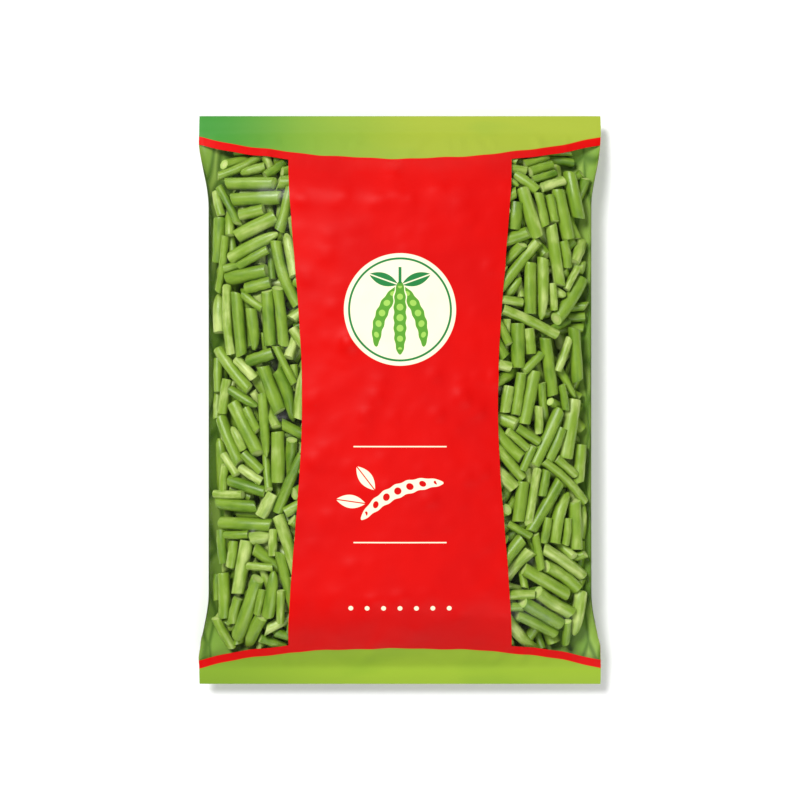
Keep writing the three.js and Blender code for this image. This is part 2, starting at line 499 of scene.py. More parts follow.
# %% How far inside the film a point is
GRID_STEP = 0.004
FILM_STEP = 0.003


def film_tree():
    """The inner face of one quarter of the bag, to measure from."""
    s = np.arange(0, FLAT_WIDTH + FILM_STEP / 2, FILM_STEP)
    y = np.arange(0, BAG_LENGTH / 2 + FILM_STEP, FILM_STEP)
    grid_s, grid_y = np.meshgrid(s, np.minimum(y, BAG_LENGTH / 2))
    place, _ = film_places(grid_s, grid_y)
    wide = len(s)
    faces = [
        (r * wide + c, r * wide + c + 1, (r + 1) * wide + c + 1, (r + 1) * wide + c)
        for r in range(len(y) - 1)
        for c in range(wide - 1)
    ]
    return BVHTree.FromPolygons(place.reshape(-1, 3).tolist(), faces)


def depth_grid():
    """Depths inside the film, and their slopes, on a grid over one quarter of the bag."""
    tree = film_tree()
    x = np.arange(-1, math.ceil(FLAT_WIDTH / 2 / GRID_STEP) + 2) * GRID_STEP
    y = np.arange(-1, math.ceil(BAG_LENGTH / 2 / GRID_STEP) + 2) * GRID_STEP
    z = np.arange(-1, math.ceil(BODY_HEIGHT / GRID_STEP) + 2) * GRID_STEP
    grid = np.stack(np.meshgrid(x, y, z, indexing="ij"), axis=-1)
    depth = np.array([tree.find_nearest(Vector(p))[3] for p in np.abs(grid).reshape(-1, 3)])
    depth = depth.reshape(grid.shape[:3])
    across, along, up = np.abs(grid[..., 0]), np.abs(grid[..., 1]), grid[..., 2]
    half_width = np.interp(along, np.arange(len(half_widths)) * STATION_STEP, half_widths)
    low, fold, high = heights(along)
    part = np.minimum(across / half_width, 1)
    inside = (up < crown_height(part, fold, high)) & (across < half_width) & (along < SEAL_LINE)
    inside &= up > under_height(np.minimum(across, half_width), half_width, low, fold)
    depth = np.where(inside, depth, -depth)
    slopes = np.gradient(depth, GRID_STEP)
    return np.stack([depth, *slopes], axis=-1)


depths = depth_grid()
print("deepest point inside the film, mm:", round(depths[..., 0].max() / MM, 1))

# %% Reading the grid


def depth_at(points):
    """How deep each point is inside the film, and the direction that leads further in."""
    mirror = np.where(points[:, :2] < 0, -1.0, 1.0)
    at = points.copy()
    at[:, :2] *= mirror
    at = np.clip(at / GRID_STEP + 1, 0, np.array(depths.shape[:3]) - 1.001)
    low = at.astype(int)
    part = at - low
    found = np.zeros((len(points), 4))
    for corner in np.ndindex(2, 2, 2):
        weight = np.prod(np.where(corner, part, 1 - part), axis=1)
        i, j, k = (low + corner).T
        found += weight[:, None] * depths[i, j, k]
    inward = found[:, 1:]
    inward[:, :2] *= mirror
    return found[:, 0], inward / np.maximum(np.linalg.norm(inward, axis=1, keepdims=True), 1e-9)


# %% The loose beans before packing
SEED = 4711
LOOSE_BEANS = 655
LOOSE_LENGTH = (0.032, 0.051)
LOOSE_RADIUS = (0.0049, 0.006)
LOOSE_BEND = (0.0002, 0.0034)
SLOPE_AT_FIRST = 0.25
FIRST_DEPTH = 0.006
PLACE_BOX = ((-0.145, -0.2, 0), (0.145, 0.2, BODY_HEIGHT))
CYLINDER_SHARE = 0.92
LITRES = 1000
random = np.random.default_rng(SEED)


def unit(vectors):
    return vectors / np.maximum(np.linalg.norm(vectors, axis=-1, keepdims=True), 1e-12)


def across(vectors, directions):
    """Unit vectors at a right angle to the directions."""
    along = (vectors * directions).sum(-1, keepdims=True)
    return unit(vectors - along * directions)


def random_places(count):
    """Inside the film, evenly through the bag."""
    kept = np.zeros((0, 3))
    while len(kept) < count:
        tries = random.uniform(*PLACE_BOX, (4 * count, 3))
        kept = np.concatenate([kept, tries[depth_at(tries)[0] > FIRST_DEPTH]])
    return kept[:count]


def loose_beans():
    direction = random.normal(size=(LOOSE_BEANS, 3))
    direction[:, 2] *= SLOPE_AT_FIRST
    direction = unit(direction)
    return {
        "centre": random_places(LOOSE_BEANS),
        "direction": direction,
        "side": across(random.normal(size=(LOOSE_BEANS, 3)), direction),
        "length": random.uniform(*LOOSE_LENGTH, LOOSE_BEANS),
        "radius": random.uniform(*LOOSE_RADIUS, LOOSE_BEANS),
        "bend": random.uniform(*LOOSE_BEND, LOOSE_BEANS),
    }


def from_lines(lines):
    half = np.array([line["half"] for line in lines])
    bend = np.array([line["bend"] for line in lines])
    return {
        "centre": np.array([line["centre"] for line in lines]),
        "direction": unit(half),
        "side": across(bend, unit(half)),
        "length": 2 * np.linalg.norm(half, axis=1),
        "radius": np.array([line["radius"] for line in lines]),
        "bend": np.linalg.norm(bend, axis=1),
    }


def print_beans():
    volume = (math.pi * beans["radius"] ** 2 * beans["length"]).sum() * CYLINDER_SHARE
    print(len(beans["radius"]), "beans,", round(volume * LITRES, 2), "litres")


beans = from_lines(window_lines)
fixed = len(window_lines)
for name, values in loose_beans().items():
    beans[name] = np.concatenate([beans[name], values])
print_beans()

# %% The balls of each bean
BALLS = 7
END_BALL = 0.65
NEAR = 0.0035


def ball_parts():
    """Where each bean's balls are, as parts of its half length."""
    inner = 1 - END_BALL * beans["radius"] / (beans["length"] / 2)
    return np.linspace(-1, 1, BALLS)[None, :] * inner[:, None]


def ball_places(parts):
    half = beans["direction"] * beans["length"][:, None] / 2
    bend = beans["side"] * beans["bend"][:, None]
    t = parts[..., None]
    return beans["centre"][:, None] + half[:, None] * t + bend[:, None] * (1 - t * t)


def near_balls(places):
    """Pairs of balls of different beans that are close enough to meet in the next rounds."""
    reach = beans["length"] / 2 + NEAR
    gap = np.linalg.norm(beans["centre"][:, None] - beans["centre"][None], axis=-1)
    a, b = np.nonzero(np.triu(gap < reach[:, None] + reach[None], 1))
    free = b >= fixed
    a, b = a[free], b[free]
    apart = np.linalg.norm(places[a][:, :, None] - places[b][:, None], axis=-1)
    close = apart < (beans["radius"][a] + beans["radius"][b] + NEAR)[:, None, None]
    pair, i, j = np.nonzero(close)
    return a[pair] * BALLS + i, b[pair] * BALLS + j


# %% Moving a bean with its balls


def total(index, vectors, count):
    """Sums the vectors that have the same index."""
    return np.stack([np.bincount(index, vectors[:, k], count) for k in range(3)], axis=1)


def fit_rods(move, weight, parts):
    """How far each straight bean shifts, and how its half length turns, to follow its balls."""
    w0, w1, w2 = weight.sum(1), (weight * parts).sum(1), (weight * parts**2).sum(1)
    m0 = (weight[..., None] * move).sum(1)
    m1 = ((weight * parts)[..., None] * move).sum(1)
    scale = (w0 * w2 - w1**2)[:, None]
    shift = (w2[:, None] * m0 - w1[:, None] * m1) / scale
    turn = (w0[:, None] * m1 - w1[:, None] * m0) / scale
    return shift, turn


# %% Packing
ROUNDS = 700
LAST_ROUNDS = 12
NEW_NEIGHBOURS = 12
FIRST_SIZE = 0.3
GROWN_AFTER = 0.5
FILM_CLEARANCE = 0.0009
OUTWARD_PULL = 0.0003
STEP_SHARE = 0.8
PUSH_SHARE = 1.5
PULLED_UNTIL = 0.9
FREE_WEIGHT = 0.12


def pack(rounds, first_size):
    """Pushes the beans apart, while they grow from a part of their thickness to all of it. In the
    last few rounds only the film pushes, so no bean is left poking through it."""
    parts = ball_parts()
    radius = np.repeat(beans["radius"], BALLS)
    count = len(radius)
    for step in range(rounds):
        size = min(1, first_size + (1 - first_size) * step / (GROWN_AFTER * rounds))
        places = ball_places(parts)
        if step % NEW_NEIGHBOURS == 0:
            first, second = near_balls(places)
        flat = places.reshape(-1, 3)
        apart = flat[first] - flat[second]
        gap = np.linalg.norm(apart, axis=1)
        overlap = np.maximum((radius[first] + radius[second]) * size - gap, 0)
        if step >= rounds - LAST_ROUNDS:
            overlap *= 0
        push = apart / np.maximum(gap, 1e-9)[:, None] * overlap[:, None] / 2
        move = total(first, push, count) - total(second, push, count)
        met = np.bincount(first, overlap > 0, count) + np.bincount(second, overlap > 0, count)
        move = move / np.maximum(met, 1)[:, None] * PUSH_SHARE
        depth, inward = depth_at(flat)
        poke = np.maximum(radius * size + FILM_CLEARANCE - depth, 0)
        move += inward * poke[:, None]
        pull = OUTWARD_PULL * max(0, 1 - step / (PULLED_UNTIL * rounds))
        weight = (FREE_WEIGHT + (met + (poke > 0) > 0)).reshape(parts.shape)
        shift, turn = fit_rods(STEP_SHARE * move.reshape(places.shape), weight, parts)
        shift -= pull * inward.reshape(places.shape).mean(1)
        half = beans["direction"] * beans["length"][:, None] / 2 + turn
        beans["centre"][fixed:] += shift[fixed:]
        beans["direction"][fixed:] = unit(half)[fixed:]
        beans["side"][fixed:] = across(beans["side"], beans["direction"])[fixed:]
    flat = ball_places(parts).reshape(-1, 3)
    gap = np.linalg.norm(flat[first] - flat[second], axis=1)
    overlap = np.maximum(radius[first] + radius[second] - gap, 0)
    return first, second, overlap


# %% Thinning the beans that are still stuck
MOST_OVERLAP = 0.0015
THINNEST = 0.0033


def thin_tangled(first, second, overlap):
    """Of each two beans that are still stuck in each other, the later one is made thinner, or
    taken out if it would be too thin."""
    later = np.maximum(first, second) // BALLS
    worst = np.zeros(len(beans["radius"]))
    np.maximum.at(worst, later, overlap)
    beans["radius"] = beans["radius"] - np.maximum(worst - MOST_OVERLAP, 0)
    tangled = np.nonzero(beans["radius"] < THINNEST)[0]
    for name in beans:
        beans[name] = np.delete(beans[name], tangled, axis=0)
    return len(tangled)


first, second, overlap = pack(ROUNDS, FIRST_SIZE)
print("overlaps over 1 mm:", int((overlap > MM).sum()), "most", round(overlap.max() / MM, 2), "mm")
print("taken out:", thin_tangled(first, second, overlap), "left:", len(beans["radius"]))

# %% [markdown]
# A filled bag is shaken until it settles, and more goes in. So the holes along the windows are
# looked for, and the longest bean that fits is put in each. Then all of them settle again, and
# this is done a few times.

# %% Finding the holes along the windows
HOLE_TRIES = 20000
HOLE_ACROSS = (0.064, 0.149)
HOLE_ALONG = 0.2
HOLE_DEPTH = (0.004, 0.018)
HOLE_ROOM = 0.0072


def tree_of(points):
    tree = KDTree(len(points))
    for i, point in enumerate(points):
        tree.insert(point, i)
    tree.balance()
    return tree


def holes(placed):
    """Places under the windows that are far from every bean, the roomiest first, and the
    direction out of the bag there."""
    side = np.where(random.random(HOLE_TRIES) < 0.5, -1.0, 1.0)
    s = side * random.uniform(*HOLE_ACROSS, HOLE_TRIES)
    y = random.uniform(-HOLE_ALONG, HOLE_ALONG, HOLE_TRIES)
    place, outward = film_places(s, y)
    place = place - outward * random.uniform(*HOLE_DEPTH, HOLE_TRIES)[:, None]
    tree = tree_of(placed)
    room = np.array([tree.find(p)[2] for p in place])
    room[depth_at(place)[0] < HOLE_DEPTH[0]] = 0
    order = np.argsort(-room)
    order = order[room[order] > HOLE_ROOM]
    return place[order], outward[order]


# %% Topping up
TOP_UPS = 3
SETTLE_ROUNDS = 120
TURNS = 18
TOP_UP_LENGTHS = (0.045, 0.038, 0.031, 0.025, 0.019)
TOP_UP_RADII = (0.0055, 0.0048, 0.0042, 0.0036)
TOP_UP_BEND = (0.0001, 0.0012)
TOP_UP_TILT = 0.12
TOP_UP_ROLL = 0.3
TOP_UP_OVERLAP = 0.0022
AT_FILM = 0.0012
REACH = 0.04


def turns_about(outward):
    """Directions all around, along the film and a little up or down."""
    first = across(np.array([0.0, 1.0, 0.0]), outward)
    second = np.cross(outward, first)
    angle = random.uniform(0, math.pi) + np.arange(TURNS)[:, None] * math.pi / TURNS
    tilt = random.normal(0, TOP_UP_TILT, (TURNS, 1))
    return unit(np.cos(angle) * first + np.sin(angle) * second + tilt * outward)


def fit(hole, directions, length, radius, placed, sizes):
    """The direction in which a bean overlaps the others least, if that is little, and its balls."""
    t = np.linspace(-1, 1, BALLS) * (length / 2 - END_BALL * radius)
    balls = hole + directions[:, None] * t[None, :, None]
    gap = np.linalg.norm(balls[:, :, None] - placed, axis=-1) - sizes
    depth = depth_at(balls.reshape(-1, 3))[0].reshape(TURNS, BALLS)
    room = np.minimum(gap.min((1, 2), initial=REACH), depth.min(1) - FILM_CLEARANCE + AT_FILM)
    best = room.argmax()
    if radius - room[best] > TOP_UP_OVERLAP:
        return None
    return directions[best], length, radius, balls[best]


def best_fit(hole, outward, placed, sizes):
    """The longest bean with its middle in the hole that hardly overlaps what is there."""
    near = np.linalg.norm(placed - hole, axis=1) < REACH
    there = (placed[near], sizes[near])
    directions = turns_about(outward)
    if fit(hole, directions, TOP_UP_LENGTHS[-1], TOP_UP_RADII[-1], *there) is None:
        return None
    sizes_to_try = itertools.product(TOP_UP_LENGTHS, TOP_UP_RADII)
    fits = (fit(hole, directions, *size, *there) for size in sizes_to_try)
    return next(found for found in fits if found is not None)


def top_up():
    """Puts a bean in each hole that one fits in, and returns how many did."""
    placed = ball_places(ball_parts()).reshape(-1, 3)
    sizes = np.repeat(beans["radius"], BALLS)
    new = {name: [] for name in beans}
    for hole, outward in zip(*holes(placed)):
        if np.linalg.norm(placed - hole, axis=1).min() < HOLE_ROOM:
            continue
        found = best_fit(hole, outward, placed, sizes)
        if found is None:
            continue
        direction, length, radius, balls = found
        placed = np.concatenate([placed, balls])
        sizes = np.concatenate([sizes, np.full(BALLS, radius)])
        side = across(outward + TOP_UP_ROLL * random.normal(size=3), direction)
        bend = random.uniform(*TOP_UP_BEND)
        for name, value in zip(new, (hole, direction, side, length, radius, bend)):
            new[name].append(value)
    count = len(new["radius"])
    for name in beans:
        beans[name] = np.concatenate([beans[name], np.array(new[name])]) if count else beans[name]
    return count


for _ in range(TOP_UPS):
    added = top_up()
    first, second, overlap = pack(SETTLE_ROUNDS, 1)
    print("topped up by", added, "beans, and then taken out:", thin_tangled(first, second, overlap))
print_beans()

# %% [markdown]
# Now each bean gets a kind and a roll about its own length, and the shape is bent along its middle
# line. The beans carry three attributes for their colours: how green the piece is, where the
# knife cut it, and each point's place on its own bean, so that the grain follows the bean.
#
# The beans at the windows are pieces of their own, with the finest surface. The rest would be 800
# objects, which no one could handle, so they are three heaps: left and right, where the windows
# show them, and one for the middle of the bag, where the print hides them.

# %% Bending a shape along its bean
TIP_SHARE = 0.13
SHOWN_DEPTH = 0.021
SHOWN_FROM = 0.058
CUT_EDGE = math.radians(52)
GRAIN_SHIFT = 7.3
kinds = random.integers(0, TIP_KIND, len(beans["radius"]))
kinds[random.random(len(kinds)) < TIP_SHARE] = TIP_KIND
rolls = random.uniform(0, 2 * math.pi, len(kinds))
tints = np.clip(random.normal(0.5, 0.27, len(kinds)), 0, 1)
flips = np.where(random.random(len(kinds)) < 0.5, -1.0, 1.0)


def bent_points(number, shape):
    """The shape's points, bent along the bean's middle line."""
    t = shape["points"][:, :1] * flips[number]
    half = beans["direction"][number] * beans["length"][number] / 2
    bend = beans["side"][number] * beans["bend"][number]
    middle = beans["centre"][number] + half * t + bend * (1 - t * t)
    tangent = unit(half - 2 * bend * t)
    other = np.cross(beans["direction"][number], beans["side"][number])
    reference = math.cos(rolls[number]) * beans["side"][number] + math.sin(rolls[number]) * other
    first = across(np.broadcast_to(reference, tangent.shape), tangent)
    second = np.cross(tangent, first) * flips[number]
    radius = beans["radius"][number]
    lateral = shape["points"][:, 1:2] * first + shape["points"][:, 2:3] * second
    return middle + lateral * radius


def bean_mesh(name, numbers, level):
    """One mesh of several beans, with the attributes that their colours use."""
    points, faces, cuts, shades, places = [], [], [], [], []
    start = 0
    for number in numbers:
        shape = shapes[kinds[number]][level]
        points.append(bent_points(number, shape))
        faces += [tuple(start + i for i in face) for face in shape["faces"]]
        cuts.append(shape["cut"])
        shades.append(np.full(len(shape["points"]), tints[number]))
        own = shape["points"] * (beans["length"][number] / 2 / beans["radius"][number], 1, 1)
        places.append(own + (number * GRAIN_SHIFT, 0, 0))
        start += len(shape["points"])
    mesh = bpy.data.meshes.new(name)
    mesh.from_pydata(np.concatenate(points).tolist(), [], faces)
    for attribute, values in (("cut", cuts), ("tint", shades)):
        layer = mesh.attributes.new(attribute, "FLOAT", "POINT")
        layer.data.foreach_set("value", np.concatenate(values).astype(np.float32))
    layer = mesh.attributes.new("own_place", "FLOAT_VECTOR", "POINT")
    layer.data.foreach_set("vector", np.concatenate(places).astype(np.float32).ravel())
    piece = bpy.data.objects.new(name, mesh)
    link(piece)
    bpy.ops.object.shade_smooth_by_angle(angle=CUT_EDGE)
    return piece


# %% All the beans
depth_of_middle, _ = depth_at(beans["centre"])
loose = np.arange(fixed, len(kinds))
shown = (depth_of_middle[loose] < SHOWN_DEPTH) & (np.abs(beans["centre"][loose, 0]) > SHOWN_FROM)
left = beans["centre"][loose, 0] < 0
heaps = [
    bean_mesh(f"loose_beans_{name}", loose[chosen], PLAIN)
    for name, chosen in (("left", shown & left), ("right", shown & ~left), ("middle", ~shown))
]
window_beans = [
    bean_mesh(f"window_{node}", [number], FINE_LEVEL) for number, node in enumerate(window_nodes)
]
all_beans = [*heaps, *window_beans]
for piece in heaps:
    print(piece.name, len(piece.data.polygons), "faces")

# %% [markdown]
# The film lies on its beans like a tight cloth. For each point of the web a line is cast inwards
# to find how far down the first bean is. The web is then let sink: every point moves to the mean of
# its neighbours and a little further in, but never into a bean. What comes out is film that is taut
# over the beans and dips between them. Along the side folds the crease is stiff and holds it out.
#
# The web is a grid whose lines follow the print, so that the clear windows end exactly along
# grid lines. Across, the lines are drawn along the edges of the middle panel, and lengthwise
# along the edges of the end bands.

# %% Where the print changes, in metres along the girth and the length
FOLD = FLAT_WIDTH / 2
BACK_PANEL = 0.215
PANEL_HALF = 0.0775
PANEL_WAIST = 0.0055
PANEL_WAVE = 0.4
RED_LINE = 0.0063
TOP_BAND = {"middle": 0.1783, "rise": 0.0181, "power": 1.9}
BOTTOM_BAND = {"middle": 0.1843, "rise": 0.0161, "power": 2.4}
WAVES = [{"size": 0.00032, "length": 0.0587}, {"size": 0.0002, "length": 0.0261}]


def panel_edge(y):
    return PANEL_HALF - PANEL_WAIST * np.cos(2 * math.pi * y / PANEL_WAVE)


def band_edge(s, band):
    """How far from the middle of the bag's length an end band starts."""
    part = np.maximum(np.minimum(np.abs(s), FLAT_WIDTH - np.abs(s)) / FOLD, 0)
    wave = sum(w["size"] * np.cos(2 * math.pi * (s + FOLD) / w["length"]) for w in WAVES)
    return band["middle"] + band["rise"] * part ** band["power"] + wave


# %% The web's grid
PANEL_COLUMNS = 58
WINDOW_COLUMNS = 34
BACK_COLUMNS = 60
BAND_ROWS = 14
LINE_ROWS = 3
BODY_ROWS = 136
WEB_EDGE = FLAT_WIDTH + LAP / 2
FIT_ROUNDS = 6


def stepped(knots, counts):
    """Evenly spaced values from each knot to the next. A knot may be an array."""
    values = []
    for start, end, count in zip(knots, knots[1:], counts):
        values += [start + (end - start) * i / count for i in range(count)]
    return np.array(np.broadcast_arrays(*values, knots[-1]))


def web_grid():
    """s and y of each point, one row for each line across the web."""
    columns = 2 * BACK_COLUMNS + 2 * WINDOW_COLUMNS + PANEL_COLUMNS + 1
    rows = 2 * BAND_ROWS + 2 * LINE_ROWS + BODY_ROWS + 1
    s = np.zeros((rows, columns))
    y = np.zeros((rows, columns))
    for _ in range(FIT_ROUNDS):
        edge = panel_edge(y)
        column_counts = [BACK_COLUMNS, WINDOW_COLUMNS, PANEL_COLUMNS, WINDOW_COLUMNS, BACK_COLUMNS]
        knots = [-WEB_EDGE, -FOLD, -edge, edge, FOLD, WEB_EDGE]
        across_web = stepped([np.broadcast_to(k, s.shape) for k in knots], column_counts)
        s = np.stack([across_web[c, :, c] for c in range(columns)], axis=1)
        top, bottom = band_edge(s, TOP_BAND), band_edge(s, BOTTOM_BAND)
        end = np.full(s.shape, BAG_LENGTH / 2)
        row_counts = [BAND_ROWS, LINE_ROWS, BODY_ROWS, LINE_ROWS, BAND_ROWS]
        knots = [-end, -bottom, RED_LINE - bottom, top - RED_LINE, top, end]
        along_web = stepped(knots, row_counts)
        y = np.stack([along_web[r, r, :] for r in range(rows)], axis=0)
    return s, y


web_s, web_y = web_grid()
print("web:", web_s.shape, "points")

# %% Letting the film sink onto the beans
CAST_FROM = 0.006
CAST_REACH = 0.02
CORNER_DEPTH = 0.004
SKIN_GAP = 0.0002
SINK_ROUNDS = 400
SINK = 0.000065
SPRING = 0.02
FOLD_REACH = 0.016
FACES_DOWN = {"from": 0.6, "over": 0.3}
FLAT_SEAL = 0.02


def free_depth(place, outward):
    """How far inwards of its first place the film may go before it meets a bean."""
    corners, faces = [], []
    start = 0
    for piece in all_beans:
        mesh = piece.data
        corners += [v.co.copy() for v in mesh.vertices]
        faces += [tuple(start + i for i in p.vertices) for p in mesh.polygons]
        start += len(mesh.vertices)
    tree = BVHTree.FromPolygons(corners, faces)
    flat_place, flat_out = place.reshape(-1, 3), outward.reshape(-1, 3)
    free = np.full(len(flat_place), CAST_REACH)
    for i, (p, n) in enumerate(zip(flat_place, flat_out)):
        hit = tree.ray_cast(Vector(p + n * CAST_FROM), Vector(-n), CAST_REACH)
        if hit[0] is not None:
            free[i] = hit[3] - CAST_FROM
    web = tree_of(flat_place)
    corners = np.array(corners)
    for corner in corners[depth_at(corners)[0] < CORNER_DEPTH]:
        _, i, _ = web.find(corner)
        free[i] = min(free[i], (flat_place[i] - corner) @ flat_out[i])
    return free.reshape(place.shape[:2])


def least_around(values):
    """The least of each value and its neighbours, so that the film also clears the beans between
    its points."""
    for axis in (0, 1):
        wide = np.pad(values, [(1, 1) if k == axis else (0, 0) for k in (0, 1)], mode="edge")
        size = values.shape[axis]
        values = np.min([wide.take(range(k, k + size), axis) for k in (0, 1, 2)], axis=0)
    return values


def sink_film(free, pull):
    """The depth at which taut film rests on what is below it."""
    depth = np.zeros_like(free)
    for _ in range(SINK_ROUNDS):
        wide = np.pad(depth, 1, mode="edge")
        mean = (wide[:-2, 1:-1] + wide[2:, 1:-1] + wide[1:-1, :-2] + wide[1:-1, 2:]) / 4
        depth = np.minimum((mean + pull) / (1 + SPRING), free)
    return depth


inner_face, outward = film_places(web_s, web_y)
web_full = fullness(web_y)
free = least_around(free_depth(inner_face, outward)) - SKIN_GAP
lies_on_table = smooth((-outward[..., 2] - FACES_DOWN["from"]) / FACES_DOWN["over"])
held = np.exp(-(((np.abs(web_s) - FOLD) / FOLD_REACH) ** 2))
pull = SINK * web_full * (1 - lies_on_table) * (1 - held)
sunk = sink_film(np.where(web_full < FLAT_SEAL, 0, free), pull)
print("film sinks by, mm: mean", round(sunk.mean() / MM, 2), "most", round(sunk.max() / MM, 2))

# %% [markdown]
# Where the flat seal opens into the round body the film has too much width for its place, and it
# puckers: short folds run from the seal into the body, most of them a little slanted. Each is a
# soft ridge with a dip beside it. The folds are placed by a seeded draw, and a few long ones are
# listed one by one.

# %% Puckers
PUCKERS_PER_END = 30
PUCKER_HEIGHT = (0.0004, 0.0013)
PUCKER_WIDTH = (0.0022, 0.0055)
PUCKER_LENGTH = (0.018, 0.052)
PUCKER_LEAN = {"corners": 0.2, "spread": 0.35}
PUCKER_RISE = 0.01
LONG_CREASES = [  # s, end, lean, height, width and length of each
    (0.021, 1, -0.75, 0.0011, 0.006, 0.05),
    (0.052, 1, 0.55, 0.0009, 0.005, 0.042),
    (-0.094, 1, -0.2, 0.0009, 0.005, 0.055),
    (-0.03, -1, 0.6, 0.0010, 0.006, 0.048),
    (0.088, -1, 0.3, 0.0009, 0.005, 0.055),
]


def random_puckers():
    puckers = []
    apart = 2 * FLAT_WIDTH / PUCKERS_PER_END
    for end in (-1, 1):
        for i in range(PUCKERS_PER_END):
            s = (i + random.uniform(0.1, 0.9)) * apart - FLAT_WIDTH
            lean = math.sin(2 * math.pi * s / FLAT_WIDTH) * PUCKER_LEAN["corners"]
            lean += random.normal(0, PUCKER_LEAN["spread"])
            ranges = (PUCKER_HEIGHT, PUCKER_WIDTH, PUCKER_LENGTH)
            puckers.append((s, end, lean, *(random.uniform(*ends) for ends in ranges)))
    return puckers


def pucker_relief(puckers):
    relief = np.zeros_like(web_s)
    for s, end, lean, height, width, length in puckers:
        down = SEAL_LINE - web_y * end
        beside = (web_s - s - lean * down) / width
        grows = smooth(down / PUCKER_RISE) * (1 - smooth(down / length))
        relief += height * grows * (1 - beside**2) * np.exp(-(beside**2))
    return relief


puckers = random_puckers() + LONG_CREASES
relief = pucker_relief(puckers) * (1 - lies_on_table)
print(len(puckers), "puckers, up to", round(relief.max() / MM, 2), "mm high")

# %% The film as a mesh
FILM_THICKNESS = 0.00015
OUTER_FACE = {"seal": 0.00012, "body": SOLID_FILM}
LAP_START = 0.004
LAP_RAMP = 0.003
LAP_STEP = 0.00035
FILM_EDGE = math.radians(50)
PRINTED, CLEAR = 0, 1


def lap_shift():
    """Where the web's edges lap, one edge rides over the other."""
    into = np.clip((np.abs(web_s) - (FLAT_WIDTH - LAP / 2 - LAP_START)) / LAP_RAMP, 0, 1)
    return into * LAP_STEP * np.where(web_s < 0, web_full, web_full - 1)


def outer_face():
    offset = OUTER_FACE["seal"] + (OUTER_FACE["body"] - OUTER_FACE["seal"]) * web_full
    place = inner_face + outward * (offset - sunk + relief)[..., None]
    place[..., 2] = np.maximum(place[..., 2] + lap_shift(), 0)
    return place


def window_faces(rows, columns):
    """For each face of the grid, whether it is clear."""
    row = np.arange(rows - 1)[:, None]
    column = np.arange(columns - 1)[None, :]
    first = BAND_ROWS + LINE_ROWS
    body = (row >= first) & (row < first + BODY_ROWS)
    from_middle = np.abs(column + 0.5 - (columns - 1) / 2)
    window = (from_middle > PANEL_COLUMNS / 2) & (from_middle < PANEL_COLUMNS / 2 + WINDOW_COLUMNS)
    return body & window


def make_film():
    rows, columns = web_s.shape
    bpy.ops.object.select_all(action="DESELECT")
    bpy.ops.mesh.primitive_grid_add(x_subdivisions=columns - 1, y_subdivisions=rows - 1, size=1)
    film = bpy.context.object
    film.name = "film"
    mesh = film.data
    mesh.vertices.foreach_set("co", outer_face().reshape(-1))
    at = np.zeros(len(mesh.loops), int)
    mesh.loops.foreach_get("vertex_index", at)
    uv = np.stack([web_s / (2 * WEB_EDGE) + 0.5, web_y / BAG_LENGTH + 0.5], axis=-1).reshape(-1, 2)
    mesh.uv_layers[0].name = "web"
    mesh.uv_layers["web"].uv.foreach_set("vector", uv[at].astype(np.float32).ravel())
    lowest = np.array([min(p.vertices) for p in mesh.polygons])
    clear = window_faces(rows, columns)
    index = np.where(clear[lowest // columns, lowest % columns], CLEAR, PRINTED)
    mesh.materials.append(None)
    mesh.materials.append(None)
    mesh.polygons.foreach_set("material_index", index.astype(np.int32))
    wall = film.modifiers.new("wall", "SOLIDIFY")
    wall.thickness = FILM_THICKNESS
    wall.offset = -1
    wall.use_even_offset = False
    bpy.ops.object.modifier_apply(modifier="wall")
    bpy.ops.object.shade_smooth_by_angle(angle=FILM_EDGE)
    return film


film = make_film()
print("film:", len(film.data.polygons), "faces")

# %% [markdown]
# Shader maths reads best as sums. The class Value wraps a node's output, and +, -, *, /, ** and a
# few named functions on it each add one Math node. The class Finish holds one material and adds
# any other node by one method, add.

# %% Shader maths as sums


def maths(operation, reflected=False):
    """A method of Value that adds one Math node."""

    def method(value, *others):
        terms = [value, *others]
        if reflected:
            terms.reverse()
        return value.finish.add("Math", {"operation": operation}, terms)

    return method


class Value:
    """An output socket that can be used in a sum."""

    __add__ = maths("ADD")
    __radd__ = maths("ADD", reflected=True)
    __sub__ = maths("SUBTRACT")
    __rsub__ = maths("SUBTRACT", reflected=True)
    __mul__ = maths("MULTIPLY")
    __rmul__ = maths("MULTIPLY", reflected=True)
    __truediv__ = maths("DIVIDE")
    __pow__ = maths("POWER")
    size = maths("ABSOLUTE")
    root = maths("SQRT")
    fraction = maths("FRACT")
    cosine = maths("COSINE")
    least = maths("MINIMUM")
    most = maths("MAXIMUM")

    def __init__(self, finish, socket):
        self.finish = finish
        self.socket = socket

    def clamped(self):
        return self.finish.add("Clamp", {}, {"Value": self})

    def ramp(self, low, high):
        """From 0 at low to 1 at high, with soft ends."""
        settings = {"interpolation_type": "SMOOTHSTEP"}
        inputs = {"Value": self, "From Min": low, "From Max": high}
        return self.finish.add("MapRange", settings, inputs)


# %% One material and its nodes


